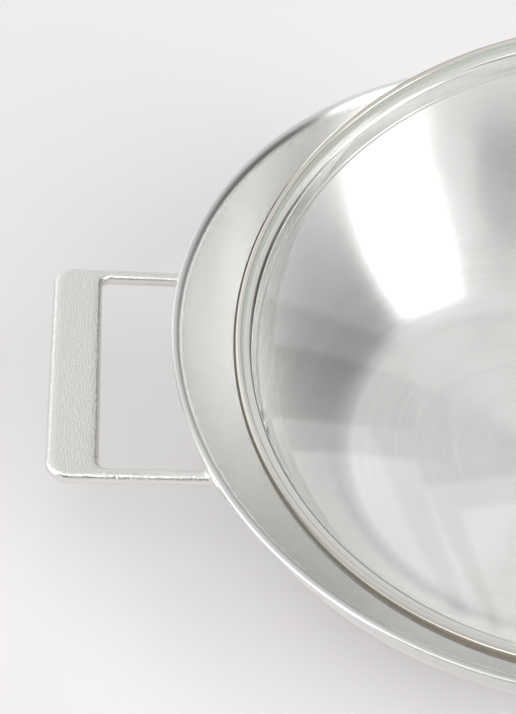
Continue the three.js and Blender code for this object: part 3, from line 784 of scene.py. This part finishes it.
plate, tree = new_material("aluminium_rolled_plate")
place = add(tree, "ShaderNodeTexCoord").outputs["Object"]
rolled = noise(tree, times(tree, place, PLATE_LINES), 1.0)
surface(tree, {
    "Base Color": blend(tree, rolled, "#c4c6c9", "#d2d4d6"), "Metallic": 1.0,
    "Roughness": spread(tree, rolled, 0.4, 0.55),
})
core.data.materials.clear()
core.data.materials.append(plate)

# %% [markdown]
# ## Floor and studio
# Polished steel and glass show the room more than themselves, so the room is drawn with care.
# The world is a pale studio with softboxes and darker openings between them. Each is a patch on the sky, bounded by
# planes through the middle: a point on the sky lies inside when it is on the inner side of every plane.
# The floor is one wide sheet of matt paper, a hair under the base so that the two don't share a face.

# %% The floor
FLOOR, FLOOR_GAP, FLOOR_POINTS = 6000.0, 0.2, 9
spot = np.linspace(-FLOOR, FLOOR, FLOOR_POINTS)
floor_x, floor_y = np.meshgrid(spot, spot, indexing="ij")
floor_points = np.stack([floor_x, floor_y, np.full_like(floor_x, -FLOOR_GAP)], -1).reshape(-1, 3) * MM
cell = np.arange(FLOOR_POINTS ** 2).reshape(FLOOR_POINTS, FLOOR_POINTS)
floor_faces = np.stack([cell[:-1, :-1], cell[1:, :-1], cell[1:, 1:], cell[:-1, 1:]], -1).reshape(-1, 4)
floor_mesh = bpy.data.meshes.new("studio_floor")
floor_mesh.from_pydata(floor_points.tolist(), [], floor_faces.tolist())
studio_floor = bpy.data.objects.new("studio_floor", floor_mesh)
bpy.context.scene.collection.objects.link(studio_floor)
paper, tree = new_material("studio_paper")
surface(tree, {"Base Color": linear("#e4e2e2"), "Roughness": 0.9, "Specular IOR Level": 0.2})
floor_mesh.materials.append(paper)
print(f"floor: {2 * FLOOR * MM:.0f} m square, {FLOOR_GAP} mm under the base")


# %% The studio on the sky
def sky_way(azimuth, elevation):
    """Direction at an azimuth from +Y towards +X and an elevation, in degrees."""
    return np.array([sind(azimuth) * cosd(elevation), cosd(azimuth) * cosd(elevation), sind(elevation)])


world = bpy.data.worlds.new("studio")
bpy.context.scene.world = world
world.use_nodes = True
tree = world.node_tree
tree.nodes.clear()
sky = add(tree, "ShaderNodeTexCoord")


def sky_patch(corners, soft):
    """How far inside a patch each point of the sky is: 0 outside, 1 inside, with edges that soft in degrees.

    Each side gives a soft step of the point's dot product with the normal of its plane. The steps are multiplied.
    """
    ways = [sky_way(*corner) for corner in corners]
    middle = np.sum(ways, 0)
    half = sind(soft / 2)
    inside_all = 1.0
    for way, following in zip(ways, ways[1:] + ways[:1]):
        plane = np.cross(way, following)
        plane = plane / np.linalg.norm(plane) * np.sign(np.dot(plane, middle))
        inputs = {0: sky.outputs["Generated"], 1: plane.tolist()}
        side = add(tree, "ShaderNodeVectorMath", inputs, operation="DOT_PRODUCT").outputs["Value"]
        inputs = {0: inside_all, 1: ramp(tree, side, -half, half)}
        inside_all = add(tree, "ShaderNodeMath", inputs, operation="MULTIPLY").outputs[0]
    return inside_all


# %% [markdown]
# ## Softboxes and openings
# What the wok mirrors in the photograph tells where the panels stood: the bright left wall is lit by the key
# softbox in front on the right, the glass mirrors two panels on the left with the dark opening between them,
# and the dark line along the lip at the far left is the unlit side of the room on the right.
# Each panel covers what is behind it, as in a painting, so the list goes from the back of the studio to the front.

# %% The panels of the studio
ROOM = 0.85
panels = {
    "back panel": ([(-6, 28), (-6, 62), (22, 62), (18, 28)], 6.0, 0.98),
    "back left panel": ([(-49, 3), (-66, 49), (-26, 56), (-16, 3)], 4.0, 1.4),
    "dark behind the lid": ([(14, 6), (14, 34), (64, 34), (64, 6)], 6.0, 0.2),
    "dark above the back": ([(24, 32), (20, 54), (76, 54), (76, 32)], 8.0, 0.35),
    "dark on the right": ([(61, 6), (60, 40), (66, 56), (94, 53), (109, 34), (119, 6)], 4.0, 0.08),
    "dark behind the camera": ([(160, 5), (156, 36), (160, 56), (212, 56), (226, 44), (226, 5)], 6.0, 0.15),
    "key softbox": ([(122, 1), (113, 30), (102, 50), (112, 57), (134, 56), (143, 30), (143, 1)], 3.0, 4.2),
    "front left softbox": ([(-66, 2), (-84.3, 47), (-132, 43), (-133, 2)], 1.5, 2.3),
    "ceiling softbox": ([(-100.5, 51.7), (-134, 43.5), (175, 54), (150, 76)], 1.5, 2.6),
    "opening on the left": ([(-49, 3), (-68.5, 53), (-88, 53), (-66.5, 3)], 1.5, 0.2),
}
level = ROOM
for corners, soft, strength in panels.values():
    level = add(tree, "ShaderNodeMix", {0: sky_patch(corners, soft), 2: level, 3: strength}).outputs[0]
print("panels:", ", ".join(panels))
light = add(tree, "ShaderNodeBackground", {"Color": (1.0, 1.0, 1.0, 1.0), "Strength": level})
add(tree, "ShaderNodeOutputWorld", {"Surface": light.outputs[0]})
bpy.context.scene.view_settings.view_transform = "Standard"

# %% [markdown]
# ## The camera
# The photograph is 516 by 714 pixels. One camera was fitted to points on the lip, the lid's rim and the handle.
# It stands in front and to the left, looks down at 51 degrees, and sees only the left half of the wok.
# Its matrix is built from the fitted angles, because aiming it by eye would not bring the lip within a pixel.

# %% The camera
PIXELS = np.array([516, 714])
FOCAL, SENSOR = 1400.0, 36.0
azimuth, elevation, roll, distance = -3.96, 50.84, -1.05, 640.12
rim_pixel = np.array([575.40, 324.23]) - PIXELS / 2
back = np.array([sind(azimuth) * cosd(elevation), -cosd(azimuth) * cosd(elevation), sind(elevation)])
right = np.cross(-back, [0, 0, 1])
right /= np.linalg.norm(right)
down = np.cross(-back, right)
right, down = cosd(roll) * right + sind(roll) * down, -sind(roll) * right + cosd(roll) * down
to_rim = -back * FOCAL + right * rim_pixel[0] + down * rim_pixel[1]
eye = np.array([0, 0, LIP_TOP]) - to_rim / np.linalg.norm(to_rim) * distance
lens = bpy.data.cameras.new("camera")
lens.sensor_fit = "HORIZONTAL"
lens.sensor_width = SENSOR
lens.lens = FOCAL * SENSOR / PIXELS[0]
lens.clip_start = 0.01
camera = bpy.data.objects.new("camera", lens)
bpy.context.scene.collection.objects.link(camera)
pose = np.eye(4)
pose[:3, :3] = np.stack([right, -down, back], -1)
pose[:3, 3] = eye * MM
camera.matrix_world = Matrix(pose.tolist())
bpy.context.scene.camera = camera
print("camera at", np.round(eye, 1).tolist(), "mm")
